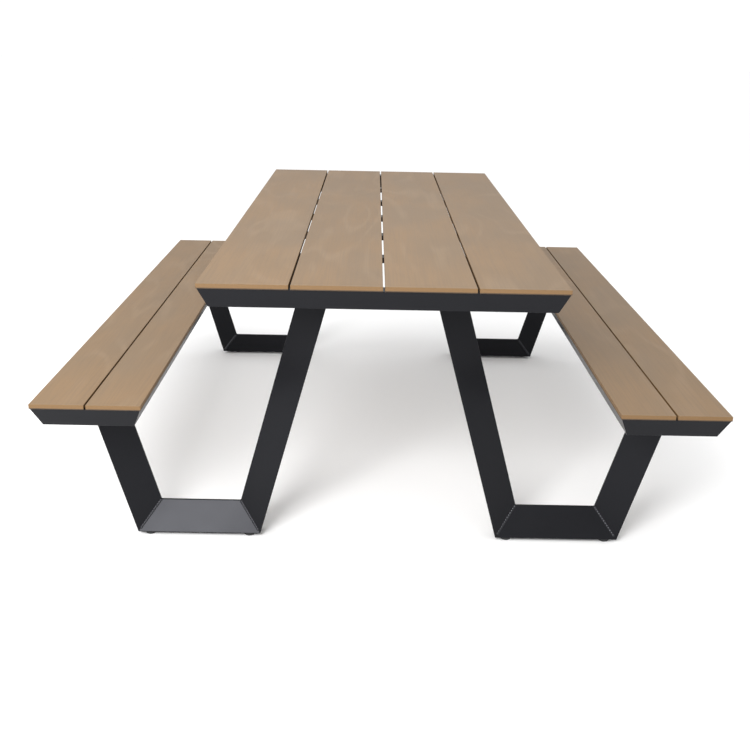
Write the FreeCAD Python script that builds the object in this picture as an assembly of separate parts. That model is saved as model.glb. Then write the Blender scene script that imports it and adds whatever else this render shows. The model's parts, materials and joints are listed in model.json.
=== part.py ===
import FreeCAD, Part
import math
import os

# Picnic table: a slatted table top and two slatted benches, each on a closed frame of
# bevelled aluminium rails, carried by four welded U-shaped leg frames on levelling feet.
# Origin on the floor under the middle of the table, +X across, +Y along it, +Z up.
# Millimetres.

# --- overall sizes
table_height = 750.0          # floor to the top of the table planks
seat_height = 440.0           # floor to the top of the bench planks
table_length = 2000.0         # planks of the table and of both benches
overall_width = 1720.0        # outer edge of one bench to outer edge of the other

# --- planks
plank_thickness = 12.0
plank_gap = 5.0
plank_edge_radius = 0.8
plank_overhang = 2.0          # plank beyond the top edge of the frame under it
table_plank_count = 4
table_plank_width = 217.0
bench_plank_count = 2
bench_plank_width = 134.0

# --- bevelled rail around each slatted top
rail_height = 50.0
rail_width = 45.0             # across its flat top
rail_bevel = 22.0             # how far its outer face runs in on the way down
rail_wall = 2.5
rail_edge_radius = 1.0

# --- cross rails under the planks
cross_rail_count = 5
cross_rail_width = 40.0
cross_rail_height = 15.0
cross_rail_wall = 2.0

# --- carriers inside the frames, which the legs bolt to
carrier_wall = 3.0
table_carrier_length = 321.0
head_plate_thickness = 6.0
head_plate_side_margin = 15.0   # plate beyond the leg, across the table
head_plate_end_margin = 29.0    # plate beyond the leg, along the table

# --- U-shaped leg frames
leg_width = 76.0              # bevelled section, seen from the end of the table
leg_depth = 57.0              # bevelled section, along the table
leg_inner_flat = 7.0          # narrow face left on the inner side of the bevel
leg_wall = 3.0
leg_edge_radius = 1.5
leg_setback = 164.0           # end of the table to the outer edge of a leg frame
bench_leg_lean = 16.0         # degrees from vertical
table_leg_lean = 15.5
table_leg_spacing = 348.0     # between the tops of the two table legs at one end
bench_leg_inboard = 5.0       # top of the bench leg inside the middle of the bench

# --- leg bolts and nuts, M8
bolt_diameter = 8.0
bolt_clearance = 0.6
bolt_edge_distance = 14.0
bolt_length = 25.0
bolt_flats = 13.0
bolt_head_height = 7.0
bolt_flange_diameter = 17.0
bolt_flange_height = 1.5
nut_height = 7.0

# --- plank screws
screw_diameter = 4.5
screw_clearance = 0.5
screw_head_diameter = 9.0
screw_head_height = 2.6
screw_head_rounding = 1.56
screw_depth_in_plank = 8.5
screw_edge_distance = 25.0

# --- levelling feet and the threaded inserts that they turn in
foot_height = 9.0             # underside of the foot bar above the floor, feet screwed in
foot_diameter = 28.0
foot_chamfer = 1.0
foot_gap = 0.3                # between the foot and the foot bar
foot_inset = 31.0             # centre of the foot from the corner of the foot bar
foot_setback = 20.0           # centre of the foot from the outer face of the leg frame
foot_recess_clearance = 0.6   # around the insert's flange, in the top of the foot
stud_diameter = 8.0
stud_reach = 15.0             # stud above the underside of the foot bar
stud_end_clearance = 0.5      # above the stud, in the bore that gives it room
thread_clearance = 0.3
insert_wall = 1.5
insert_height = 10.0
insert_flange_diameter = 15.0
insert_flange_height = 1.0
insert_clearance = 0.15

# --- tools that cut right through run this far past both faces
overrun = 1.0

# --- worked out from the sizes above
table_width = table_plank_count * (table_plank_width + plank_gap) - plank_gap
bench_width = bench_plank_count * (bench_plank_width + plank_gap) - plank_gap
bench_centre = (overall_width - bench_width) / 2
table_frame_top = table_height - plank_thickness
bench_frame_top = seat_height - plank_thickness
leg_middle_y = table_length / 2 - leg_setback - leg_depth / 2
foot_y = table_length / 2 - leg_setback - foot_setback
head_plate_length = leg_depth + 2 * head_plate_end_margin
carrier_outer_y = table_length / 2 - plank_overhang - rail_width
carrier_inner_y = carrier_outer_y - table_carrier_length
outer_cross_rail_y = carrier_inner_y - cross_rail_width / 2
cross_rail_pitch = 2 * outer_cross_rail_y / (cross_rail_count - 1)
cross_rail_places = [i * cross_rail_pitch - outer_cross_rail_y for i in range(cross_rail_count)]

sides = {"left": -1, "right": 1}
ends = {"front": -1, "back": 1}
x_axis = FreeCAD.Vector(1, 0, 0)
y_axis = FreeCAD.Vector(0, 1, 0)
z_axis = FreeCAD.Vector(0, 0, 1)


# --- helpers -----------------------------------------------------------------------

def vec(x, y, z):
    return FreeCAD.Vector(x, y, z)


def save(name, shapes):
    """Write one node: a single solid, or a group of separate ones."""
    solids = [solid for shape in shapes for solid in shape.Solids]
    node = solids[0] if len(solids) == 1 else Part.makeCompound(solids)
    node.exportStep(f"parts/{name}.step")


def box(x0, x1, y0, y1, z0, z1):
    corner = vec(min(x0, x1), min(y0, y1), min(z0, z1))
    return Part.makeBox(abs(x1 - x0), abs(y1 - y0), abs(z1 - z0), corner)


def box_tube(x0, x1, y0, y1, z0, z1, wall, axis):
    """Rectangular tube, open at both ends along one axis."""
    outer = box(x0, x1, y0, y1, z0, z1)
    room = outer.BoundBox
    low = [room.XMin + wall, room.YMin + wall, room.ZMin + wall]
    high = [room.XMax - wall, room.YMax - wall, room.ZMax - wall]
    low[axis] -= 2 * wall
    high[axis] += 2 * wall
    return outer.cut(box(low[0], high[0], low[1], high[1], low[2], high[2]))


def cylinder(x, y, z0, z1, diameter):
    return Part.makeCylinder(diameter / 2, z1 - z0, vec(x, y, z0))


def hexagon(x, y, z0, z1, flats):
    radius = flats / math.sqrt(3)
    angles = [math.radians(60 * i) for i in range(7)]
    corners = [vec(x + radius * math.cos(a), y + radius * math.sin(a), z0) for a in angles]
    return Part.Face(Part.makePolygon(corners)).extrude(vec(0, 0, z1 - z0))


def drill(shape, places, z0, z1, diameter):
    for x, y in places:
        shape = shape.cut(cylinder(x, y, z0, z1, diameter))
    return shape


def bevelled_bar(outline, wall, edge_radius, start, end):
    """Hollow bar along local X with both ends cut.

    outline holds (inward, depth) corners. start and end are (place, run): the end is at
    place on the outer edge, and run is how far it moves in for each millimetre inward,
    so 0 is square and 1 is a 45 degree mitre.
    """
    width = max(inward for inward, depth in outline)
    depth_span = max(depth for inward, depth in outline)
    low = start[0] - width
    stretch = end[0] - start[0] + 2 * width
    wire = Part.makePolygon([vec(low, n, d) for n, d in outline + outline[:1]])
    outer = Part.Face(wire).extrude(vec(stretch, 0, 0))
    long_edges = [e for e in outer.Edges if math.isclose(e.Length, stretch)]
    outer = outer.makeFillet(edge_radius, long_edges)
    hollow = Part.Face(wire.makeOffset2D(-wall, 2)).extrude(vec(stretch, 0, 0))
    near = -wall
    far = width + wall
    window = [
        vec(start[0] + start[1] * near, near, -wall),
        vec(end[0] - end[1] * near, near, -wall),
        vec(end[0] - end[1] * far, far, -wall),
        vec(start[0] + start[1] * far, far, -wall),
    ]
    window = Part.Face(Part.makePolygon(window + window[:1]))
    return outer.cut(hollow).common(window.extrude(vec(0, 0, depth_span + 2 * wall)))


def place(bar, origin, along, inward, depth):
    """Turn a bar's local X, Y and Z to three directions and move it to origin."""
    matrix = FreeCAD.Matrix(
        along.x, inward.x, depth.x, origin.x,
        along.y, inward.y, depth.y, origin.y,
        along.z, inward.z, depth.z, origin.z,
        0, 0, 0, 1)
    return bar.transformShape(matrix, True)


# --- slatted tops: frame rails, cross rails, planks and screws ---------------------

def clear_span(centre, width):
    """X of the inner faces of the two long rails of one top."""
    half = width / 2 - plank_overhang - rail_width
    return centre - half, centre + half


def frame_rail(length, middle, inward):
    outline = [(0, 0), (rail_width, 0), (rail_width, rail_height), (rail_bevel, rail_height)]
    bar = bevelled_bar(outline, rail_wall, rail_edge_radius, (-length / 2, 1), (length / 2, 1))
    return place(bar, middle, inward.cross(-z_axis), inward, -z_axis)


def frame_rails(centre, width, top):
    """Four mitred rails around one top."""
    half_x = width / 2 - plank_overhang
    half_y = table_length / 2 - plank_overhang
    return {
        "front": frame_rail(2 * half_x, vec(centre, -half_y, top), y_axis),
        "back": frame_rail(2 * half_x, vec(centre, half_y, top), -y_axis),
        "low": frame_rail(2 * half_y, vec(centre - half_x, 0, top), x_axis),
        "high": frame_rail(2 * half_y, vec(centre + half_x, 0, top), -x_axis),
    }


def plank_edges(centre, width, plank_count, plank_width):
    """Low and high X edge of each plank of one top."""
    lows = [centre - width / 2 + i * (plank_width + plank_gap) for i in range(plank_count)]
    return [(low, low + plank_width) for low in lows]


def screw_places(edges, span):
    """Two screws in each plank at each cross rail."""
    places = []
    for low, high in edges:
        pair = (max(low, span[0]) + screw_edge_distance, min(high, span[1]) - screw_edge_distance)
        places += [(x, y) for y in cross_rail_places for x in pair]
    return places


def plank(edge, places, top):
    """Plank with rounded edges and blind screw holes in its underside."""
    low, high = edge
    half_y = table_length / 2
    board = box(low, high, -half_y, half_y, top, top + plank_thickness)
    board = board.makeFillet(plank_edge_radius, board.Edges)
    mine = [(x, y) for x, y in places if low < x < high]
    hole_top = top + screw_depth_in_plank + screw_clearance
    return drill(board, mine, top - overrun, hole_top, screw_diameter + screw_clearance)


def cross_rail(span, y, places, top):
    half = cross_rail_width / 2
    bottom = top - cross_rail_height
    rail = box_tube(span[0], span[1], y - half, y + half, bottom, top, cross_rail_wall, 0)
    mine = [spot for spot in places if spot[1] == y]
    return drill(rail, mine, bottom - overrun, top + overrun, screw_diameter + screw_clearance)


def plank_screw(x, y, top):
    seat = top - cross_rail_height
    head = cylinder(x, y, seat - screw_head_height, seat, screw_head_diameter)
    rim = [e for e in head.Edges if e.Closed and e.BoundBox.ZMax < seat - screw_head_height / 2]
    head = head.makeFillet(screw_head_rounding, rim)
    shank = cylinder(x, y, seat, top + screw_depth_in_plank, screw_diameter)
    return head.fuse(shank).removeSplitter()


def slatted_top(centre, width, plank_count, plank_width, top):
    """All the pieces of one top, by kind."""
    span = clear_span(centre, width)
    edges = plank_edges(centre, width, plank_count, plank_width)
    places = screw_places(edges, span)
    return {
        "rails": frame_rails(centre, width, top),
        "planks": [plank(edge, places, top) for edge in edges],
        "cross_rails": [cross_rail(span, y, places, top) for y in cross_rail_places],
        "screws": [plank_screw(x, y, top) for x, y in places],
    }


# --- leg frames ---------------------------------------------------------------------

class Leg:
    """Where one kind of leg stands; across is +1 if it leans away from the middle."""

    def __init__(self, lean, across, top_centre, frame_top):
        self.lean = math.radians(lean)
        self.across = across
        self.top_centre = top_centre
        self.frame_bottom = frame_top - rail_height
        self.top = self.frame_bottom - head_plate_thickness
        self.rise = self.top - foot_height
        self.half_slice = leg_width / math.cos(self.lean) / 2
        self.corner = top_centre + across * (self.half_slice - self.rise * math.tan(self.lean))
        self.mitre = 1 / math.tan(math.radians(90 + lean) / 2)
        self.foot_x = self.corner - across * foot_inset


legs = {
    "bench": Leg(bench_leg_lean, 1, bench_centre - bench_leg_inboard, bench_frame_top),
    "table": Leg(table_leg_lean, -1, table_leg_spacing / 2, table_frame_top),
}
leg_outline = [(0, 0), (leg_width, leg_depth - leg_inner_flat), (leg_width, leg_depth), (0, leg_depth)]


def leg_bar(start, end):
    return bevelled_bar(leg_outline, leg_wall, leg_edge_radius, start, end)


def outer_edge(x, end):
    """Point on the outer lower edge of a leg frame."""
    return vec(x, end * (table_length / 2 - leg_setback), foot_height)


def leg(kind, side, end):
    """Leaning leg, mitred at the foot bar and cut level under its head plate."""
    data = legs[kind]
    bar = leg_bar((0, data.mitre), (data.rise / math.cos(data.lean), math.tan(data.lean)))
    out = side * data.across
    along = vec(out * math.sin(data.lean), 0, math.cos(data.lean))
    inward = vec(-out * math.cos(data.lean), 0, math.sin(data.lean))
    return place(bar, outer_edge(side * data.corner, end), along, inward, -end * y_axis)


def foot_places(side, end):
    return [(side * data.foot_x, end * foot_y) for data in legs.values()]


def foot_bar(side, end):
    """Foot bar between the two mitres, with a hole for each threaded insert.

    The bore above the hole gives the stud room where it would meet the bevelled wall.
    """
    bench, table = legs["bench"], legs["table"]
    bar = leg_bar((0, table.mitre), (bench.corner - table.corner, bench.mitre))
    bar = place(bar, outer_edge(side * table.corner, end), side * x_axis, z_axis, -end * y_axis)
    hole = insert_outer_diameter() + 2 * insert_clearance
    low = foot_height - overrun
    high = foot_height + leg_wall + overrun
    bar = drill(bar, foot_places(side, end), low, high, hole)
    stud_room = foot_height + stud_reach + stud_end_clearance
    return drill(bar, foot_places(side, end), low, stud_room, insert_bore())


def bolt_places(kind, side, end):
    """Four bolts around the top of one leg."""
    half_x = legs[kind].half_slice + head_plate_side_margin - bolt_edge_distance
    half_y = head_plate_length / 2 - bolt_edge_distance
    x = side * legs[kind].top_centre
    y = end * leg_middle_y
    return [(x + i * half_x, y + j * half_y) for i in (-1, 1) for j in (-1, 1)]


def head_plate(kind, side, end):
    data = legs[kind]
    x = side * data.top_centre
    y = end * leg_middle_y
    half_x = data.half_slice + head_plate_side_margin
    half_y = head_plate_length / 2
    plate = box(x - half_x, x + half_x, y - half_y, y + half_y, data.top, data.frame_bottom)
    return drill(plate, bolt_places(kind, side, end), data.top - overrun, data.frame_bottom + overrun,
                 bolt_diameter + bolt_clearance)


def carrier(kind, side, end):
    """Box tube inside the frame, over one leg: along the table or across the bench."""
    bottom = legs[kind].frame_bottom
    x = side * legs[kind].top_centre
    if kind == "table":
        half_x = legs[kind].half_slice + head_plate_side_margin
        tube = box_tube(x - half_x, x + half_x, end * carrier_inner_y, end * carrier_outer_y,
                        bottom, bottom + rail_height, carrier_wall, 1)
    else:
        low, high = clear_span(side * bench_centre, bench_width)
        y = end * leg_middle_y
        half_y = head_plate_length / 2
        tube = box_tube(low, high, y - half_y, y + half_y, bottom, bottom + rail_height,
                        carrier_wall, 0)
    return drill(tube, bolt_places(kind, side, end), bottom - overrun, bottom + carrier_wall + overrun,
                 bolt_diameter + bolt_clearance)


def leg_bolt(x, y, seat):
    """Flange bolt, its head under the plate and its shank up through the carrier's wall."""
    flange = cylinder(x, y, seat - bolt_flange_height, seat, bolt_flange_diameter)
    head = hexagon(x, y, seat - bolt_head_height, seat - bolt_flange_height, bolt_flats)
    shank = cylinder(x, y, seat, seat + bolt_length, bolt_diameter)
    return flange.fuse([head, shank]).removeSplitter()


def leg_nut(x, y, seat):
    nut = hexagon(x, y, seat, seat + nut_height, bolt_flats)
    bore = cylinder(x, y, seat - overrun, seat + nut_height + overrun, bolt_diameter + bolt_clearance)
    return nut.cut(bore)


# --- levelling feet -----------------------------------------------------------------

def insert_bore():
    return stud_diameter + 2 * thread_clearance


def insert_outer_diameter():
    return insert_bore() + 2 * insert_wall


def foot_insert(x, y):
    """Flanged threaded sleeve in the underside of a foot bar."""
    low = foot_height - insert_flange_height
    high = foot_height + insert_height
    sleeve = cylinder(x, y, foot_height, high, insert_outer_diameter())
    flange = cylinder(x, y, low, foot_height, insert_flange_diameter)
    body = sleeve.fuse(flange).removeSplitter()
    return body.cut(cylinder(x, y, low - overrun, high + overrun, insert_bore()))


def levelling_foot(x, y):
    """Round pad on the floor with its stud; its top has room for the insert's flange."""
    top = foot_height - foot_gap
    pad = cylinder(x, y, 0, top, foot_diameter)
    bottom_edge = [e for e in pad.Edges if e.Closed and e.BoundBox.ZMax < top / 2]
    pad = pad.makeChamfer(foot_chamfer, bottom_edge)
    recess_floor = foot_height - insert_flange_height - foot_gap
    recess_diameter = insert_flange_diameter + 2 * foot_recess_clearance
    recess = cylinder(x, y, recess_floor, top + overrun, recess_diameter)
    stud = cylinder(x, y, recess_floor, foot_height + stud_reach, stud_diameter)
    return pad.cut(recess).fuse(stud).removeSplitter()


# --- assembly -----------------------------------------------------------------------

os.makedirs("parts", exist_ok=True)
screws = []

table_top = slatted_top(0, table_width, table_plank_count, table_plank_width, table_frame_top)
screws += table_top["screws"]
for i, board in enumerate(table_top["planks"], 1):
    save(f"table_plank_{i}", [board])
for i, rail in enumerate(table_top["cross_rails"], 1):
    save(f"table_cross_rail_{i}", [rail])
for end_name in ends:
    save(f"table_end_rail_{end_name}", [table_top["rails"][end_name]])
for side_name, rail in zip(sides, ("low", "high")):
    save(f"table_side_rail_{side_name}", [table_top["rails"][rail]])

for side_name, side in sides.items():
    bench = slatted_top(side * bench_centre, bench_width, bench_plank_count,
                        bench_plank_width, bench_frame_top)
    screws += bench["screws"]
    outwards = ["inner", "outer"][::side]
    for place_name, board in zip(outwards, bench["planks"]):
        save(f"bench_{side_name}_plank_{place_name}", [board])
    for place_name, rail in zip(outwards, ("low", "high")):
        save(f"bench_{side_name}_side_rail_{place_name}", [bench["rails"][rail]])
    for end_name in ends:
        save(f"bench_{side_name}_end_rail_{end_name}", [bench["rails"][end_name]])
    save(f"bench_{side_name}_cross_rails", bench["cross_rails"])
    save(f"bench_{side_name}_carriers", [carrier("bench", side, end) for end in ends.values()])
save("plank_screws", screws)

for side_name, side in sides.items():
    for end_name, end in ends.items():
        corner = f"{end_name}_{side_name}"
        save(f"table_carrier_{corner}", [carrier("table", side, end)])
        save(f"foot_bar_{corner}", [foot_bar(side, end)])
        for kind in legs:
            save(f"{kind}_leg_{corner}", [leg(kind, side, end)])
        for kind, (x, y) in zip(legs, foot_places(side, end)):
            save(f"foot_{corner}_{kind}_side", [levelling_foot(x, y)])

corners = [(side, end) for side in sides.values() for end in ends.values()]
bolts = []
nuts = []
for kind, data in legs.items():
    save(f"{kind}_leg_head_plates", [head_plate(kind, side, end) for side, end in corners])
    spots = [spot for side, end in corners for spot in bolt_places(kind, side, end)]
    bolts += [leg_bolt(x, y, data.top) for x, y in spots]
    nuts += [leg_nut(x, y, data.frame_bottom + carrier_wall) for x, y in spots]
save("leg_bolts", bolts)
save("leg_nuts", nuts)
inserts = [foot_insert(x, y) for side, end in corners for x, y in foot_places(side, end)]
save("foot_inserts", inserts)
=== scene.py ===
import json
import math
import bmesh
import bpy
from mathutils import Matrix, Vector


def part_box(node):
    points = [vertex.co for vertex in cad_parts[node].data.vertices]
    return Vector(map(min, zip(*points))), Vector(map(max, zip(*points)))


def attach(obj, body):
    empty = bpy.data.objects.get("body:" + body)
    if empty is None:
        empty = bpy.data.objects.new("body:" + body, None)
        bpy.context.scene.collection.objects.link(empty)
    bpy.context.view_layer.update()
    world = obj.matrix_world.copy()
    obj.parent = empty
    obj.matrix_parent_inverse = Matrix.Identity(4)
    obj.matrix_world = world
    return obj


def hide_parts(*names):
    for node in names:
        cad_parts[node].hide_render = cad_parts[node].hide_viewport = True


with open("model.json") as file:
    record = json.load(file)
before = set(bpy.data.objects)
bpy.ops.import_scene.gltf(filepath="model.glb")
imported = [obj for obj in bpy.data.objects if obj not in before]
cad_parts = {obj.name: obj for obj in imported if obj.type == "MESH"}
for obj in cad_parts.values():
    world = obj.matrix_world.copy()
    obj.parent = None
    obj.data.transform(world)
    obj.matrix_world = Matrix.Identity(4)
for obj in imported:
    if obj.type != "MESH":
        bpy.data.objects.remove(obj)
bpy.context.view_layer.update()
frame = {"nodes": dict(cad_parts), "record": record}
nodes = frame["nodes"]
print("frame loaded:", len(nodes), "nodes")


# Node trees: a wire is an output socket, and a recipe is the tree that it belongs to.

def pickSocket(sockets, key):  # by name, or by place among the sockets in use
    live = [socket for socket in sockets if socket.enabled]
    if isinstance(key, int):
        return live[key]
    return next(socket for socket in live if socket.name == key)


class Wire:
    def __init__(self, recipe, socket):
        self.recipe = recipe
        self.socket = socket

    def out(self, key):  # another output of the same node
        return Wire(self.recipe, pickSocket(self.socket.node.outputs, key))

    def math(self, operation, first, second=0.0):
        return self.recipe.node("ShaderNodeMath", {"operation": operation}, {0: first, 1: second})

    def __add__(self, other):
        return self.math("ADD", self, other)

    def __radd__(self, other):
        return self.math("ADD", other, self)

    def __sub__(self, other):
        return self.math("SUBTRACT", self, other)

    def __rsub__(self, other):
        return self.math("SUBTRACT", other, self)

    def __mul__(self, other):
        return self.math("MULTIPLY", self, other)

    def __rmul__(self, other):
        return self.math("MULTIPLY", other, self)

    def __truediv__(self, other):
        return self.math("DIVIDE", self, other)

    def __rtruediv__(self, other):
        return self.math("DIVIDE", other, self)

    def __gt__(self, other):
        return self.math("GREATER_THAN", self, other)

    def __lt__(self, other):
        return self.math("LESS_THAN", self, other)


class Recipe:
    def __init__(self, tree):
        self.tree = tree
        tree.nodes.clear()

    def node(self, kind, settings=None, sockets=None, out=0):
        made = self.tree.nodes.new(kind)
        for name, value in (settings or {}).items():
            if name == "stops":
                self.setStops(made.color_ramp.elements, value)
            else:
                setattr(made, name, value)
        for key, value in (sockets or {}).items():
            target = pickSocket(made.inputs, key)
            if isinstance(value, Wire):
                self.tree.links.new(value.socket, target)
            else:
                target.default_value = value
        if len(made.outputs) == 0:
            return made
        return Wire(self, pickSocket(made.outputs, out))

    def setStops(self, elements, stops):
        while len(elements) < len(stops):
            elements.new(1.0)
        for element, (place, shade) in zip(elements, stops):
            element.position = place
            element.color = (shade, shade, shade, 1.0)

    def blend(self, share, low, high, mode="MIX"):
        settings = {"data_type": "RGBA", "blend_type": mode}
        return self.node("ShaderNodeMix", settings, {"Factor": share, "A": low, "B": high}, "Result")

    def scaled(self, vector, factors):
        return self.node("ShaderNodeVectorMath", {"operation": "MULTIPLY"}, {0: vector, 1: factors})

    def shifted(self, vector, other):
        return self.node("ShaderNodeVectorMath", {"operation": "ADD"}, {0: vector, 1: other})

    def clouds(self, vector, scale, detail=2.0, roughness=0.5, distortion=0.0):
        sockets = {"Vector": vector, "Scale": scale, "Detail": detail,
                   "Roughness": roughness, "Distortion": distortion}
        return self.node("ShaderNodeTexNoise", {"noise_dimensions": "3D"}, sockets)

    def ramp(self, value, stops):
        return self.node("ShaderNodeValToRGB", {"stops": stops}, {"Fac": value})


def colour(red, green, blue):
    return (red, green, blue, 1.0)


def newFinish(name, paint):
    finish = bpy.data.materials.new(name)
    finish.use_nodes = True
    recipe = Recipe(finish.node_tree)
    place = recipe.node("ShaderNodeTexCoord", out="Object")
    sockets = paint(recipe, place)
    surface = recipe.node("ShaderNodeBsdfPrincipled", sockets=sockets)
    recipe.node("ShaderNodeOutputMaterial", sockets={"Surface": surface})
    return finish


# Finishes

plankLook = {
    "shade": colour(0.192, 0.121, 0.060),
    "warmCloud": colour(0.204, 0.125, 0.059),
    "greyCloud": colour(0.178, 0.117, 0.063),
    "veinShade": colour(0.255, 0.176, 0.104),
    "grainShade": colour(0.135, 0.083, 0.041),
    "plankSpread": 0.06,      # how much lighter or darker one plank may be than the next
    "cloudSize": 7.5,         # clouds in a metre, across the plank
    "cloudStretch": 0.42,     # less than 1 draws the clouds out along the plank
    "tintShare": 0.7,         # size of the grey clouds' noise, of the warm ones'
    "tintShift": (3.1, 1.7, 0.4),
    "seedShift": (13.0, 29.0, 7.0),
    "veinBands": 17.0,        # flame-like bands in a metre, across the plank
    "veinStretch": 0.20,
    "veinShare": 0.31,
    "veinSize": 4.6,
    "patchSize": 3.2,         # where the veins come and go
    "grainLines": 230.0,      # fine grain lines in a metre, across the plank
    "grainStretch": 0.018,
    "grainShare": 0.34,
    "roughness": 0.52,
    "gloss": 0.40,
    "grainDepth": 0.00025,
}


def paintPlank(recipe, place):
    look = plankLook
    seed = recipe.node("ShaderNodeAttribute", {"attribute_name": "plankSeed"}, out="Fac")
    slide = recipe.node("ShaderNodeCombineXYZ", sockets={
        axis: seed * shift for axis, shift in zip("XYZ", look["seedShift"])})
    own = recipe.shifted(place, slide)
    drawn = recipe.scaled(own, (1.0, look["cloudStretch"], 1.0))
    clouds = recipe.clouds(drawn, look["cloudSize"], 3.0, 0.55, 0.5)
    tintPlace = recipe.shifted(drawn, look["tintShift"])
    tint = recipe.clouds(tintPlace, look["cloudSize"] * look["tintShare"], 2.0)
    warm = recipe.ramp(clouds, [(0.40, 0.0), (0.62, 1.0)])
    grey = recipe.ramp(tint, [(0.44, 0.0), (0.64, 1.0)])
    base = recipe.blend(warm, look["shade"], look["warmCloud"])
    base = recipe.blend(grey, base, look["greyCloud"])
    flowPlace = recipe.scaled(own, (1.0, look["veinStretch"], 1.0))
    flow = recipe.clouds(flowPlace, look["veinSize"], 2.0, 0.45, 0.3)
    rings = recipe.node("ShaderNodeMath", {"operation": "PINGPONG"}, {0: flow * look["veinBands"], 1: 1.0})
    veins = recipe.ramp(rings, [(0.55, 0.0), (0.90, 1.0)])
    patchy = recipe.ramp(recipe.clouds(own, look["patchSize"], 2.0), [(0.42, 0.15), (0.60, 1.0)])
    base = recipe.blend(veins * patchy * look["veinShare"], base, look["veinShade"])
    grain = recipe.clouds(recipe.scaled(own, (1.0, look["grainStretch"], 1.0)), look["grainLines"], 3.0, 0.6)
    lines = recipe.ramp(grain, [(0.38, 1.0), (0.56, 0.0)])
    base = recipe.blend(lines * look["grainShare"], base, look["grainShade"])
    lift = 1.0 - look["plankSpread"] / 2 + seed * look["plankSpread"]
    evenLift = recipe.node("ShaderNodeCombineColor", sockets={0: lift, 1: lift, 2: lift})
    bump = {"Height": grain * 0.7 + rings * 0.15, "Distance": look["grainDepth"], "Strength": 0.5}
    return {
        "Base Color": recipe.blend(1.0, base, evenLift, "MULTIPLY"),
        "Roughness": look["roughness"] + grain * 0.12 - clouds * 0.06,
        "Normal": recipe.node("ShaderNodeBump", sockets=bump),
        "Specular IOR Level": look["gloss"],
    }


plankEndLook = {
    "core": colour(0.158, 0.086, 0.030),
    "fleck": colour(0.104, 0.054, 0.019),
    "sawMarks": 900.0,        # saw marks in a metre of height
    "fleckSize": 420.0,
    # painted shadow: a dark band along the bottom of each plank edge stands in for the shade under the
    # plank's overhang at the rail
    "paintedShadow": colour(0.030, 0.017, 0.008),
    "paintedShadowShare": 0.20,       # how far up the edge the painted shadow line of the joint below it reaches
    "roughness": 0.62,
    "markDepth": 0.0002,
}


def paintPlankEnd(recipe, place):
    fleck = recipe.clouds(place, plankEndLook["fleckSize"], 2.0, 0.7)
    saw = recipe.clouds(recipe.scaled(place, (0.03, 1.0, 1.0)), plankEndLook["sawMarks"], 1.0)
    share = recipe.ramp(fleck, [(0.45, 0.0), (0.75, 1.0)])
    height = recipe.node("ShaderNodeAttribute", {"attribute_name": "heightShare"}, out="Fac")
    reach = plankEndLook["paintedShadowShare"] + (fleck - 0.5) * 0.08
    unshadowed = recipe.blend(share * 0.7, plankEndLook["core"], plankEndLook["fleck"])
    bump = {"Height": saw * 0.6 + fleck * 0.4, "Distance": plankEndLook["markDepth"], "Strength": 0.6}
    return {
        # painted shadow: the lowest part of each plank edge is darkened, as if in the shade of the joint
        # below
        "Base Color": recipe.blend((reach > height) * 0.9, unshadowed, plankEndLook["paintedShadow"]),
        "Roughness": plankEndLook["roughness"] + saw * 0.1,
        "Normal": recipe.node("ShaderNodeBump", sockets=bump),
    }


powderCoatLook = {
    "base": colour(0.0040, 0.0041, 0.0050),
    "light": colour(0.0080, 0.0082, 0.0096),
    "texture": 620.0,         # grains of the fine textured coat in a metre
    "textureDepth": 0.00010,
    "sweepSize": 9.0,         # slow changes of the coat's gloss, in a metre
    "roughness": 0.30,
    "roughnessSpread": 0.10,
    "gloss": 0.16,
    "glossTint": colour(0.91, 0.92, 1.0),
}


def paintPowderCoat(recipe, place):
    look = powderCoatLook
    grains = recipe.clouds(place, look["texture"], 2.0, 0.55)
    sweep = recipe.clouds(place, look["sweepSize"], 3.0, 0.5)
    speck = recipe.ramp(grains, [(0.52, 0.0), (0.74, 1.0)])
    bump = {"Height": grains, "Distance": look["textureDepth"], "Strength": 0.4}
    return {
        "Base Color": recipe.blend(speck * 0.6 + sweep * 0.35, look["base"], look["light"]),
        "Roughness": look["roughness"] + (sweep - 0.5) * look["roughnessSpread"],
        "Normal": recipe.node("ShaderNodeBump", sockets=bump),
        "Specular IOR Level": look["gloss"],
        "Specular Tint": look["glossTint"],
    }


weldCoatLook = {
    "gloss": 0.42,            # the coat pulls thin and smooth over a bead
    "roughness": 0.24,
    "patchSize": 90.0,
}


def paintWeldCoat(recipe, place):
    sockets = paintPowderCoat(recipe, place)
    sockets["Specular IOR Level"] = weldCoatLook["gloss"]
    sockets["Roughness"] = weldCoatLook["roughness"] + recipe.clouds(place, weldCoatLook["patchSize"]) * 0.08
    return sockets


footPlasticLook = {
    "base": colour(0.011, 0.011, 0.012),
    "scuff": colour(0.030, 0.030, 0.031),
    "grain": 1500.0,          # grains of the moulded surface in a metre
    "scuffSize": 160.0,
    "roughness": 0.56,
    "grainDepth": 0.0001,
}


def paintFootPlastic(recipe, place):
    grain = recipe.clouds(place, footPlasticLook["grain"], 1.0)
    scuff = recipe.clouds(place, footPlasticLook["scuffSize"], 3.0, 0.65)
    bump = {"Height": grain, "Distance": footPlasticLook["grainDepth"], "Strength": 0.5}
    worn = recipe.ramp(scuff, [(0.55, 0.0), (0.8, 1.0)])
    return {
        "Base Color": recipe.blend(worn, footPlasticLook["base"], footPlasticLook["scuff"]),
        "Roughness": footPlasticLook["roughness"] + scuff * 0.12,
        "Normal": recipe.node("ShaderNodeBump", sockets=bump),
    }


zincLook = {
    "base": colour(0.56, 0.57, 0.58),
    "dull": colour(0.42, 0.42, 0.41),
    "patchSize": 260.0,
    "grain": 2400.0,
    "roughness": 0.30,
    "grainDepth": 0.00005,
}


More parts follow.
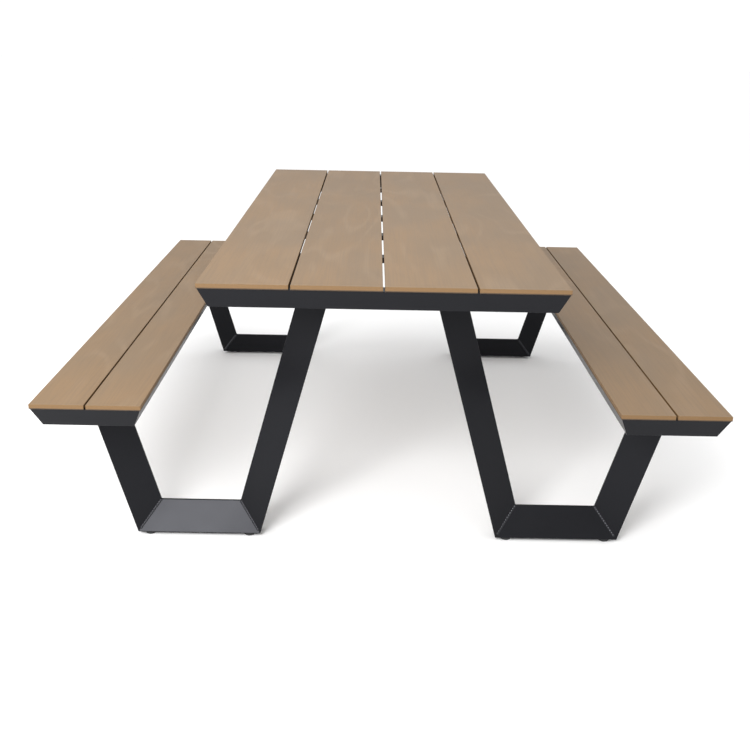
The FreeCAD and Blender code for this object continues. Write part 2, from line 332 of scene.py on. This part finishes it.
def paintZinc(recipe, place):
    patches = recipe.clouds(place, zincLook["patchSize"], 3.0, 0.6)
    grain = recipe.clouds(place, zincLook["grain"], 1.0)
    share = recipe.ramp(patches, [(0.40, 0.0), (0.70, 1.0)])
    bump = {"Height": grain, "Distance": zincLook["grainDepth"], "Strength": 0.4}
    return {
        "Base Color": recipe.blend(share, zincLook["base"], zincLook["dull"]),
        "Roughness": zincLook["roughness"] + patches * 0.18,
        "Metallic": 1.0,
        "Normal": recipe.node("ShaderNodeBump", sockets=bump),
    }


plankFinish = newFinish("plankFinish", paintPlank)
plankEndFinish = newFinish("plankEndFinish", paintPlankEnd)
powderCoat = newFinish("powderCoat", paintPowderCoat)
weldCoat = newFinish("weldCoat", paintWeldCoat)
footPlastic = newFinish("footPlastic", paintFootPlastic)
zincPlate = newFinish("zincPlate", paintZinc)
print("finishes mixed")


# Geometry Nodes: each tree is grown on a holder object, and only its plain mesh is kept.

def startTree(name, inputs):
    tree = bpy.data.node_groups.new(name, "GeometryNodeTree")
    recipe = Recipe(tree)
    for way in ("INPUT", "OUTPUT"):
        tree.interface.new_socket("Geometry", in_out=way, socket_type="NodeSocketGeometry")
    for label, kind in inputs.items():
        tree.interface.new_socket(label, in_out="INPUT", socket_type="NodeSocket" + kind)
    given = recipe.node("NodeGroupInput")
    return recipe, given


def endTree(recipe, geometry, finish):
    whole = recipe.node("GeometryNodeRealizeInstances", sockets={"Geometry": geometry})
    painted = recipe.node("GeometryNodeSetMaterial", sockets={"Geometry": whole, "Material": finish})
    recipe.node("NodeGroupOutput", sockets={"Geometry": painted})
    return recipe.tree


def addObject(name, data):
    made = bpy.data.objects.new(name, data)
    bpy.context.collection.objects.link(made)
    return made


def dropEmptySlots(mesh):
    finishes = list(mesh.materials)
    kept = [finish for finish in finishes if finish]
    places = [kept.index(finish) if finish else 0 for finish in finishes]
    indices = [places[face.material_index] for face in mesh.polygons]
    mesh.materials.clear()
    for finish in kept:
        mesh.materials.append(finish)
    mesh.polygons.foreach_set("material_index", indices)


def grow(name, tree, values, start=None, bevel=None):
    holder = addObject(name + "Holder", start or bpy.data.meshes.new(name + "Start"))
    modifier = holder.modifiers.new("tree", "NODES")
    modifier.node_group = tree
    for item in tree.interface.items_tree:
        if item.in_out == "INPUT" and item.name in values:
            modifier[item.identifier] = values[item.name]
    if bevel:
        rounding = holder.modifiers.new("rounding", "BEVEL")
        rounding.width = bevel
        rounding.segments = 3
        rounding.limit_method = "ANGLE"
        rounding.harden_normals = True
    depsgraph = bpy.context.evaluated_depsgraph_get()
    mesh = bpy.data.meshes.new_from_object(holder.evaluated_get(depsgraph), depsgraph=depsgraph)
    bpy.data.objects.remove(holder)
    mesh.name = name
    dropEmptySlots(mesh)
    return addObject(name, mesh)


def finishPiece(piece, body, slot, *replaced):
    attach(piece, body)
    if replaced:
        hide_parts(*replaced)


def pathMesh(name, paths):  # each path is (points, closed), and becomes a chain of edges
    points = []
    edges = []
    for path, closed in paths:
        first = len(points)
        points += path
        edges += [(first + i, first + i + 1) for i in range(len(path) - 1)]
        if closed:
            edges.append((len(points) - 1, first))
    mesh = bpy.data.meshes.new(name)
    mesh.from_pydata(points, edges, [])
    return mesh


def solidBoxes(name):  # (lowest corner, highest corner) of each separate solid in a node's group
    copy = bmesh.new()
    copy.from_mesh(nodes[name].data)
    bmesh.ops.remove_doubles(copy, verts=copy.verts, dist=1e-6)
    waiting = set(copy.verts)
    boxes = []
    while waiting:
        island = {waiting.pop()}
        edge = set(island)
        while edge:
            edge = {e.other_vert(v) for v in edge for e in v.link_edges} - island
            island |= edge
        waiting -= island
        low = Vector([min(v.co[axis] for v in island) for axis in range(3)])
        high = Vector([max(v.co[axis] for v in island) for axis in range(3)])
        boxes.append((low, high))
    copy.free()
    return sorted(boxes, key=lambda pair: tuple(round(value, 5) for value in pair[0]))


# Planks

plankShape = {
    "edgeRadius": 0.0008,
    "seed": 4,
}


def buildPlankTree():
    inputs = {"Count": "Int", "Width": "Float", "Pitch": "Float", "Length": "Float", "Thickness": "Float",
              "First Centre": "Vector", "Seed": "Int", "Face Finish": "Material", "End Finish": "Material"}
    recipe, given = startTree("plankTree", inputs)
    step = recipe.node("ShaderNodeCombineXYZ", sockets={"X": given.out("Pitch")})
    places = recipe.node("GeometryNodeMeshLine", sockets={
        "Count": given.out("Count"), "Start Location": given.out("First Centre"), "Offset": step})
    size = recipe.node("ShaderNodeCombineXYZ", sockets={
        "X": given.out("Width"), "Y": given.out("Length"), "Z": given.out("Thickness")})
    board = recipe.node("GeometryNodeMeshCube", sockets={"Size": size})
    spot = recipe.node("ShaderNodeSeparateXYZ", sockets={"Vector": recipe.node("GeometryNodeInputPosition")})
    # heightShare is the height up each plank, used for the painted shadow line along the bottom of its edges
    share = spot.out("Z") / given.out("Thickness") + 0.5
    board = recipe.node("GeometryNodeStoreNamedAttribute", {"data_type": "FLOAT", "domain": "POINT"},
                        {"Geometry": board, "Name": "heightShare", "Value": share})
    row = recipe.node("GeometryNodeInstanceOnPoints", sockets={"Points": places, "Instance": board})
    chance = recipe.node("FunctionNodeRandomValue", {"data_type": "FLOAT"}, {"Seed": given.out("Seed")})
    row = recipe.node("GeometryNodeStoreNamedAttribute", {"data_type": "FLOAT", "domain": "INSTANCE"},
                      {"Geometry": row, "Name": "plankSeed", "Value": chance})
    whole = recipe.node("GeometryNodeRealizeInstances", sockets={"Geometry": row})
    faced = recipe.node("GeometryNodeSetMaterial", sockets={
        "Geometry": whole, "Material": given.out("Face Finish")})
    facing = recipe.node("ShaderNodeSeparateXYZ", sockets={"Vector": recipe.node("GeometryNodeInputNormal")})
    sideways = 0.5 > facing.out("Z") * facing.out("Z")
    ended = recipe.node("GeometryNodeSetMaterial", sockets={
        "Geometry": faced, "Selection": sideways, "Material": given.out("End Finish")})
    recipe.node("NodeGroupOutput", sockets={"Geometry": ended})
    return recipe.tree


plankTree = buildPlankTree()


def layPlanks(name, planks, seed):  # planks are the CAD nodes of one top, in order from -X to +X
    boxes = [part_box(plank) for plank in planks]
    first, last = boxes[0], boxes[-1]
    size = first[1] - first[0]
    pitch = (last[0].x - first[0].x) / (len(planks) - 1)
    piece = grow(name, plankTree, {
        "Count": len(planks), "Width": size.x, "Pitch": pitch, "Length": size.y, "Thickness": size.z,
        "First Centre": (first[0] + first[1]) / 2, "Seed": seed,
        "Face Finish": plankFinish, "End Finish": plankEndFinish,
    }, bevel=plankShape["edgeRadius"])
    finishPiece(piece, "table", "planks", *planks)


layPlanks("tablePlanks", [f"table_plank_{i}" for i in range(1, 5)], plankShape["seed"])
layPlanks("benchLeftPlanks", ["bench_left_plank_outer", "bench_left_plank_inner"], plankShape["seed"] + 1)
layPlanks("benchRightPlanks", ["bench_right_plank_inner", "bench_right_plank_outer"], plankShape["seed"] + 2)
print("planks laid")


# Weld beads

def buildWeldTree():
    inputs = {"Radius": "Float", "Ripple": "Float", "Ripple Pitch": "Float", "Corner Radius": "Float",
              "Step": "Float", "Sides": "Int", "Finish": "Material"}
    recipe, given = startTree("weldTree", inputs)
    path = recipe.node("GeometryNodeMeshToCurve", sockets={"Mesh": given.out("Geometry")})
    path = recipe.node("GeometryNodeFilletCurve", sockets={
        "Curve": path, "Radius": given.out("Corner Radius"), "Limit Radius": True})
    path = recipe.node("GeometryNodeResampleCurve", {"mode": "LENGTH"}, {
        "Curve": path, "Length": given.out("Step")})
    along = recipe.node("GeometryNodeSplineParameter", out="Length")
    turn = along * math.pi / given.out("Ripple Pitch")
    wave = recipe.node("ShaderNodeMath", {"operation": "SINE"}, {0: turn})
    crest = recipe.node("ShaderNodeMath", {"operation": "ABSOLUTE"}, {0: wave})
    swell = 1.0 - given.out("Ripple") + given.out("Ripple") * crest
    ring = recipe.node("GeometryNodeCurvePrimitiveCircle", sockets={
        "Resolution": given.out("Sides"), "Radius": given.out("Radius")})
    bead = recipe.node("GeometryNodeCurveToMesh", sockets={
        "Curve": path, "Profile Curve": ring, "Scale": swell, "Fill Caps": True})
    smooth = recipe.node("GeometryNodeSetShadeSmooth", sockets={"Geometry": bead})
    return endTree(recipe, smooth, given.out("Finish"))


weldTree = buildWeldTree()
sides = {"left": -1, "right": 1}
ends = {"front": -1, "back": 1}
leans = {"bench": 1, "table": -1}  # +1 where the leg leans away from the middle of the table

legSection = {
    "innerFlat": 0.007,       # narrow face left on the inner side of the bevel
}


def far(box, axis):  # greatest distance from the middle plane
    return max(abs(box[0][axis]), abs(box[1][axis]))


def near(box, axis):
    return min(abs(box[0][axis]), abs(box[1][axis]))


def legCorner(kind, sideName, endName):  # where one leg meets its foot bar and its head plate
    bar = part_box(f"foot_bar_{endName}_{sideName}")
    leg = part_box(f"{kind}_leg_{endName}_{sideName}")
    reach = far if kind == "bench" else near
    foot = reach(bar, 0)
    top = reach(leg, 0)
    rise = leg[1].z - leg[0].z
    return {
        "side": sides[sideName], "end": ends[endName], "lean": math.atan(abs(top - foot) / rise),
        "across": leans[kind], "foot": foot, "top": top, "low": bar[0].z, "high": leg[1].z,
        "width": bar[1].z - bar[0].z, "outer": far(bar, 1), "depth": far(bar, 1) - near(bar, 1),
    }


def insetLoop(loop, distance):  # a convex outline, moved in by the same distance all round
    count = len(loop)
    middle = sum(loop, Vector((0, 0))) / count
    moved = []
    for i, corner in enumerate(loop):
        normals = []
        for a, b in ((loop[i - 1], corner), (corner, loop[(i + 1) % count])):
            normal = Vector((a.y - b.y, b.x - a.x)).normalized()
            normals.append(normal if normal.dot(middle - corner) > 0 else -normal)
        moved.append(corner + (normals[0] + normals[1]) * distance / (1 + normals[0].dot(normals[1])))
    return moved


def sectionLoop(corner, sink):  # the bar's outline as (inward, depth), with the bead's centre below the skin
    outline = [Vector((0, 0)), Vector((corner["width"], corner["depth"] - legSection["innerFlat"])),
               Vector((corner["width"], corner["depth"])), Vector((0, corner["depth"]))]
    return insetLoop(outline, sink)


def mitrePath(corner, sink):
    run = 1 / math.tan((math.pi / 2 + corner["lean"]) / 2)
    points = []
    for inward, depth in sectionLoop(corner, sink):
        x = corner["side"] * (corner["foot"] - corner["across"] * run * inward)
        points.append(Vector((x, corner["end"] * (corner["outer"] - depth), corner["low"] + inward)))
    for last, other in ((0, 1), (-1, -2)):  # the outer corner has no bead, so both ends stop short of it
        points[last] += (points[other] - points[last]).normalized() * mitreStop
    return points, False


def legTopPath(corner, drop):
    points = []
    for inward, depth in sectionLoop(corner, 0):
        x = corner["side"] * (corner["top"] - corner["across"] * inward / math.cos(corner["lean"]))
        points.append(Vector((x, corner["end"] * (corner["outer"] - depth), corner["high"] - drop)))
    return points, True


mitreBead = {"Radius": 0.0055, "Ripple": 0.16, "Ripple Pitch": 0.0075, "Corner Radius": 0.003,
             "Step": 0.0012, "Sides": 12, "Finish": weldCoat}
mitreSink = 0.0024
mitreStop = 0.006           # end of the bead short of the outer corner
legTopBead = {"Radius": 0.0034, "Ripple": 0.10, "Ripple Pitch": 0.0055, "Corner Radius": 0.002,
              "Step": 0.0016, "Sides": 10, "Finish": weldCoat}
legTopDrop = 0.0004
railBead = {"Radius": 0.0021, "Ripple": 0.12, "Ripple Pitch": 0.0042, "Corner Radius": 0.0015,
            "Step": 0.0014, "Sides": 8, "Finish": weldCoat}

corners = [legCorner(kind, side, end) for kind in leans for side in sides for end in ends]
mitrePaths = pathMesh("mitrePaths", [mitrePath(corner, mitreSink) for corner in corners])
finishPiece(grow("mitreWelds", weldTree, mitreBead, mitrePaths), "table", "frame")
legTopPaths = pathMesh("legTopPaths", [legTopPath(corner, legTopDrop) for corner in corners])
finishPiece(grow("legTopWelds", weldTree, legTopBead, legTopPaths), "table", "frame")


def endSeams(box, axis):  # a U-shaped seam around the sides and underside of each end of a tube
    low, high = box
    across = 1 - axis
    seams = []
    for place in (low[axis], high[axis]):
        seam = []
        for side, height in ((low, high), (low, low), (high, low), (high, high)):
            point = Vector((0, 0, height.z))
            point[axis] = place
            point[across] = side[across]
            seam.append(point)
        seams.append((seam, False))
    return seams


tubes = [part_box(f"table_cross_rail_{i}") for i in range(1, 6)]
for side in sides:
    tubes += solidBoxes(f"bench_{side}_cross_rails") + solidBoxes(f"bench_{side}_carriers")
seams = [seam for tube in tubes for seam in endSeams(tube, 0)]
for side in sides:
    for end in ends:
        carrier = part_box(f"table_carrier_{end}_{side}")
        seams.append(max(endSeams(carrier, 1), key=lambda seam: abs(seam[0][0].y)))
finishPiece(grow("crossRailWelds", weldTree, railBead, pathMesh("railSeams", seams)), "table", "frame")
print("welds run")


# Fasteners

def buildFastenerTree():
    recipe, given = startTree("fastenerTree", {"Fastener": "Object", "Seed": "Int", "Finish": "Material"})
    shape = recipe.node("GeometryNodeObjectInfo", {"transform_space": "ORIGINAL"},
                        {"Object": given.out("Fastener")}, "Geometry")
    chance = recipe.node("FunctionNodeRandomValue", {"data_type": "FLOAT"},
                         {"Min": 0.0, "Max": math.tau, "Seed": given.out("Seed")})
    turn = recipe.node("ShaderNodeCombineXYZ", sockets={"Z": chance})
    points = recipe.node("GeometryNodeMeshToPoints", sockets={"Mesh": given.out("Geometry")})
    group = recipe.node("GeometryNodeInstanceOnPoints", sockets={
        "Points": points, "Instance": shape, "Rotation": turn})
    return endTree(recipe, group, given.out("Finish"))


fastenerTree = buildFastenerTree()


def turned(shape, outline, count):  # outline is (radius, height) from the bottom pole to the top pole
    rings = []
    for radius, height in outline:
        if radius == 0:
            rings.append([shape.verts.new((0, 0, height))])
            continue
        angles = [math.tau * i / count for i in range(count)]
        rings.append([shape.verts.new((radius * math.cos(a), radius * math.sin(a), height)) for a in angles])
    for lower, upper in zip(rings, rings[1:]):
        for i in range(count):
            j = (i + 1) % count
            if len(lower) == 1:
                shape.faces.new((lower[0], upper[j], upper[i]))
            elif len(upper) == 1:
                shape.faces.new((lower[i], lower[j], upper[0]))
            else:
                shape.faces.new((lower[i], lower[j], upper[j], upper[i]))
    return rings


def arc(centreRadius, centreHeight, radius, start, stop, steps):  # angles in degrees from +radius to +height
    angles = [math.radians(start + (stop - start) * i / steps) for i in range(steps + 1)]
    return [(centreRadius + radius * math.cos(a), centreHeight + radius * math.sin(a)) for a in angles]


def meshFrom(name, shape, sharpAngle=35):
    bmesh.ops.recalc_face_normals(shape, faces=shape.faces)
    mesh = bpy.data.meshes.new(name)
    shape.to_mesh(mesh)
    shape.free()
    mesh.shade_smooth()
    mesh.set_sharp_from_angle(angle=math.radians(sharpAngle))
    return mesh


plankScrewShape = {
    "socketRadius": 0.0018,
    "socketDepth": 0.0014,
    "lobes": 6,
    "lobeDepth": 0.16,        # of the socket's radius
    "shankRadius": 0.00225,
    "pointStart": 0.8,        # share of the shank below its point
    "domeAngles": (35, 85),   # degrees, from the socket's rim to the head's edge
    "domeSteps": 4,
    "sides": 18,
}
legBoltShape = {
    "flats": 0.013,
    "chamfer": 0.0009,
    "flangeRadius": 0.0085,
    "flangeHeight": 0.0015,
    "shankRadius": 0.004,
    "shankChamfer": 0.0008,
    "skirtNeck": 0.0006,      # where the hexagon runs into the sloping flange
    "rimRound": 0.0007,
    "seatInset": 0.0005,
    "sides": 24,
}
fastenerSeeds = {"screws": 11, "bolts": 12}


def plankScrew(box, head, sizes):  # head down, with its seat at height 0
    radius = (box[1].x - box[0].x) / 2
    length = box[1].z - box[0].z - head
    floor = sizes["socketDepth"] - head
    shape = bmesh.new()
    socket = [(0, floor), (sizes["socketRadius"], floor), (sizes["socketRadius"], -head)]
    low, high = sizes["domeAngles"]
    steps = sizes["domeSteps"]
    angles = [math.radians(low + (high - low) * i / steps) for i in range(steps + 1)]
    dome = [(radius * math.sin(a), -head * math.cos(a)) for a in angles]
    shank = [(radius, 0), (sizes["shankRadius"], 0),
             (sizes["shankRadius"], length * sizes["pointStart"]), (0, length)]
    rings = turned(shape, socket + dome + shank, sizes["sides"])
    for ring in rings[1:3]:
        for i, vert in enumerate(ring):
            vert.co.xy *= 1 + sizes["lobeDepth"] * math.cos(sizes["lobes"] * math.tau * i / len(ring))
    return addObject("plankScrewPattern", meshFrom("plankScrewPattern", shape))


def legBolt(box, head, sizes):  # head down, with its flange's seat at height 0
    shape = bmesh.new()
    corner = sizes["flats"] / math.sqrt(3)
    flange = sizes["flangeHeight"]
    chamfer = sizes["chamfer"]
    hexagon = [(0, -head), (corner * 0.80, -head), (corner * 0.94, -head + chamfer * 0.5),
               (corner, -head + chamfer), (corner, -flange - sizes["skirtNeck"]),
               (corner * 0.9, -flange * 0.5), (0, -flange * 0.5)]
    turned(shape, hexagon, 6)
    skirtTop = -flange - 2 * sizes["skirtNeck"]
    skirt = [(0, skirtTop), (corner * 0.95, skirtTop)]
    rim = sizes["rimRound"]
    edge = arc(sizes["flangeRadius"] - rim, -rim, rim, -70, 60, 3)
    tip = box[1].z - box[0].z - head
    slim = sizes["shankRadius"] - sizes["shankChamfer"]
    shank = [(sizes["flangeRadius"] - sizes["seatInset"], 0), (sizes["shankRadius"], 0),
             (sizes["shankRadius"], tip - sizes["shankChamfer"]), (slim, tip), (0, tip)]
    turned(shape, skirt + edge + shank, sizes["sides"])
    return addObject("legBoltPattern", meshFrom("legBoltPattern", shape))


def setFasteners(name, pattern, places, seed, node):
    start = pathMesh(name + "Places", [([place], False) for place in places])
    piece = grow(name, fastenerTree, {"Fastener": pattern, "Seed": seed, "Finish": zincPlate}, start)
    bpy.data.objects.remove(pattern)
    finishPiece(piece, "table", "fasteners", node)


screwBoxes = solidBoxes("plank_screws")
tableScrew = max(screwBoxes, key=lambda pair: pair[0].z)
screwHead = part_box("table_cross_rail_1")[0].z - tableScrew[0].z
screwPlaces = [Vector(((low.x + high.x) / 2, (low.y + high.y) / 2, low.z + screwHead))
               for low, high in screwBoxes]
plankScrewPattern = plankScrew(tableScrew, screwHead, plankScrewShape)
setFasteners("plankScrews", plankScrewPattern, screwPlaces, fastenerSeeds["screws"], "plank_screws")

boltBoxes = solidBoxes("leg_bolts")
benchBolt = min(boltBoxes, key=lambda pair: pair[0].z)
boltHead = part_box("bench_leg_front_left")[1].z - benchBolt[0].z
boltPlaces = [Vector(((low.x + high.x) / 2, (low.y + high.y) / 2, low.z + boltHead))
              for low, high in boltBoxes]
legBoltPattern = legBolt(benchBolt, boltHead, legBoltShape)
setFasteners("legBolts", legBoltPattern, boltPlaces, fastenerSeeds["bolts"], "leg_bolts")
print("fasteners set:", len(screwPlaces), "screws and", len(boltPlaces), "bolts")


# Levelling feet

footShape = {
    "lowerRound": 0.0010,
    "upperRound": 0.0008,
    "recessRadius": 0.0081,
    "recessDepth": 0.0010,
    "studRadius": 0.004,
    "threadPitch": 0.00125,
    "threadDepth": 0.00068,
    "barGap": 0.0003,         # between the pad and the foot bar, screwed in
    "soleHollow": 0.0006,     # the middle of the sole is raised by this
    "soleShare": 0.62,        # radius of the hollow, of the pad's
    "soleRim": 0.66,
    "sides": 40,
}


def buildThreadTree():
    inputs = {"Radius": "Float", "Length": "Float", "Pitch": "Float", "Depth": "Float", "Finish": "Material"}
    recipe, given = startTree("threadTree", inputs)
    rows = given.out("Length") / given.out("Pitch") * 6.0
    rod = recipe.node("GeometryNodeMeshCylinder", sockets={
        "Vertices": 20, "Side Segments": rows, "Radius": given.out("Radius"), "Depth": given.out("Length")})
    spot = recipe.node("ShaderNodeSeparateXYZ", sockets={"Vector": recipe.node("GeometryNodeInputPosition")})
    angle = recipe.node("ShaderNodeMath", {"operation": "ARCTAN2"}, {0: spot.out("Y"), 1: spot.out("X")})
    turns = spot.out("Z") / given.out("Pitch") - angle / math.tau
    ridge = recipe.node("ShaderNodeMath", {"operation": "PINGPONG"}, {0: turns, 1: 0.5}) * 2.0
    share = 1.0 - ridge * given.out("Depth") / given.out("Radius")
    squeeze = recipe.node("ShaderNodeCombineXYZ", sockets={"X": share, "Y": share, "Z": 1.0})
    place = recipe.scaled(recipe.node("GeometryNodeInputPosition"), squeeze)
    rod = recipe.node("GeometryNodeSetPosition", sockets={"Geometry": rod, "Position": place})
    return endTree(recipe, rod, given.out("Finish"))


threadTree = buildThreadTree()


def levellingFoot(name, node, sizes):
    low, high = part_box(node)
    body = next(body for body, members in frame["record"]["behaviour"]["bodies"].items() if node in members)
    radius = (high.x - low.x) / 2
    top = near(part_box("foot_bar_front_left"), 2) - sizes["barGap"]
    centre = Vector(((low.x + high.x) / 2, (low.y + high.y) / 2, low.z))
    lower = arc(radius - sizes["lowerRound"], sizes["lowerRound"], sizes["lowerRound"], -90, 0, 5)
    upper = arc(radius - sizes["upperRound"], top - sizes["upperRound"], sizes["upperRound"], 0, 90, 3)
    floor = top - sizes["recessDepth"]
    hollow = sizes["soleHollow"]
    sole = [(0, hollow), (radius * sizes["soleShare"], hollow), (radius * sizes["soleRim"], 0)]
    recess = [(sizes["recessRadius"], top), (sizes["recessRadius"], floor), (0, floor)]
    shape = bmesh.new()
    turned(shape, sole + lower + upper + recess, sizes["sides"])
    pad = addObject(name, meshFrom(name, shape))
    pad.data.materials.append(footPlastic)
    length = high.z - low.z - floor
    stud = grow(name + "Stud", threadTree, {
        "Radius": sizes["studRadius"], "Length": length, "Pitch": sizes["threadPitch"],
        "Depth": sizes["threadDepth"], "Finish": zincPlate})
    stud.data.transform(Matrix.Translation((0, 0, floor + length / 2)))
    for part in (pad, stud):
        part.data.transform(Matrix.Translation(centre))
    finishPiece(pad, body, "feet", node)
    finishPiece(stud, body, "fasteners")


for endName in ends:
    for sideName in sides:
        for kind in leans:
            words = endName.capitalize() + sideName.capitalize() + kind.capitalize()
            levellingFoot(f"foot{words}", f"foot_{endName}_{sideName}_{kind}_side", footShape)
print("feet turned")


# CAD nodes that keep their shape

zincNodes = ("leg_nuts", "foot_inserts")
for name, node in nodes.items():
    if node.hide_render:
        continue
    for slot in node.material_slots:
        slot.material = zincPlate if name in zincNodes else powderCoat
print("frame coated")


# Studio: camera, floor and light

cameraSetup = {
    "place": (-0.03035, -3.26206, 1.31877),
    "turn": -0.00578,         # radians, to the left of straight along the table
    "down": 0.33466,
    "roll": 0.02021,
    "lens": 47.763,
}
studio = {
    "floorHalf": 40.0,
    "floorShade": 0.94,
    "skyShade": 1.0,
    "skyStrength": 1.08,
    "lamps": [  # name, place, aimed at, width, power
        ("frontLamp", (-1.15, -3.65, 2.38), (-0.45, -0.81, 0.05), 1.5, 140.0),
        ("sideLamp", (-3.0, -0.8, 1.9), (-0.3, 0.0, 0.6), 2.0, 30.0),
        ("overheadLamp", (0.0, 0.3, 2.9), (0.0, 0.3, 0.7), 1.6, 11.0),
    ],
}


def setCamera(setup):
    camera = addObject("camera", bpy.data.cameras.new("camera"))
    camera.data.lens = setup["lens"]
    turn = Matrix.Rotation(setup["turn"], 4, "Z") @ Matrix.Rotation(math.pi / 2 - setup["down"], 4, "X")
    camera.matrix_world = Matrix.Translation(setup["place"]) @ turn @ Matrix.Rotation(setup["roll"], 4, "Z")
    bpy.context.scene.camera = camera


def paintFloor(recipe, place):
    shade = studio["floorShade"]
    return {"Base Color": colour(shade, shade, shade), "Roughness": 0.9, "Specular IOR Level": 0.1}


def layFloor(half):
    mesh = bpy.data.meshes.new("floor")
    outline = [(-half, -half, 0), (half, -half, 0), (half, half, 0), (-half, half, 0)]
    mesh.from_pydata(outline, [], [(0, 1, 2, 3)])
    floor = addObject("floor", mesh)
    mesh.materials.append(newFinish("floorFinish", paintFloor))


def lightStudio(setup):
    world = bpy.data.worlds.new("sky")
    bpy.context.scene.world = world
    world.use_nodes = True
    sky = world.node_tree.nodes["Background"]
    sky.inputs["Color"].default_value = colour(setup["skyShade"], setup["skyShade"], setup["skyShade"])
    sky.inputs["Strength"].default_value = setup["skyStrength"]
    for name, place, aim, width, power in setup["lamps"]:
        lamp = addObject(name, bpy.data.lights.new(name, "AREA"))
        lamp.data.size = width
        lamp.data.energy = power
        lamp.visible_camera = False
        lamp.location = place
        lamp.rotation_euler = (Vector(aim) - Vector(place)).to_track_quat("-Z", "Y").to_euler()


setCamera(cameraSetup)
layFloor(studio["floorHalf"])
lightStudio(studio)
bpy.context.scene.view_settings.view_transform = "Standard"
print("studio lit")
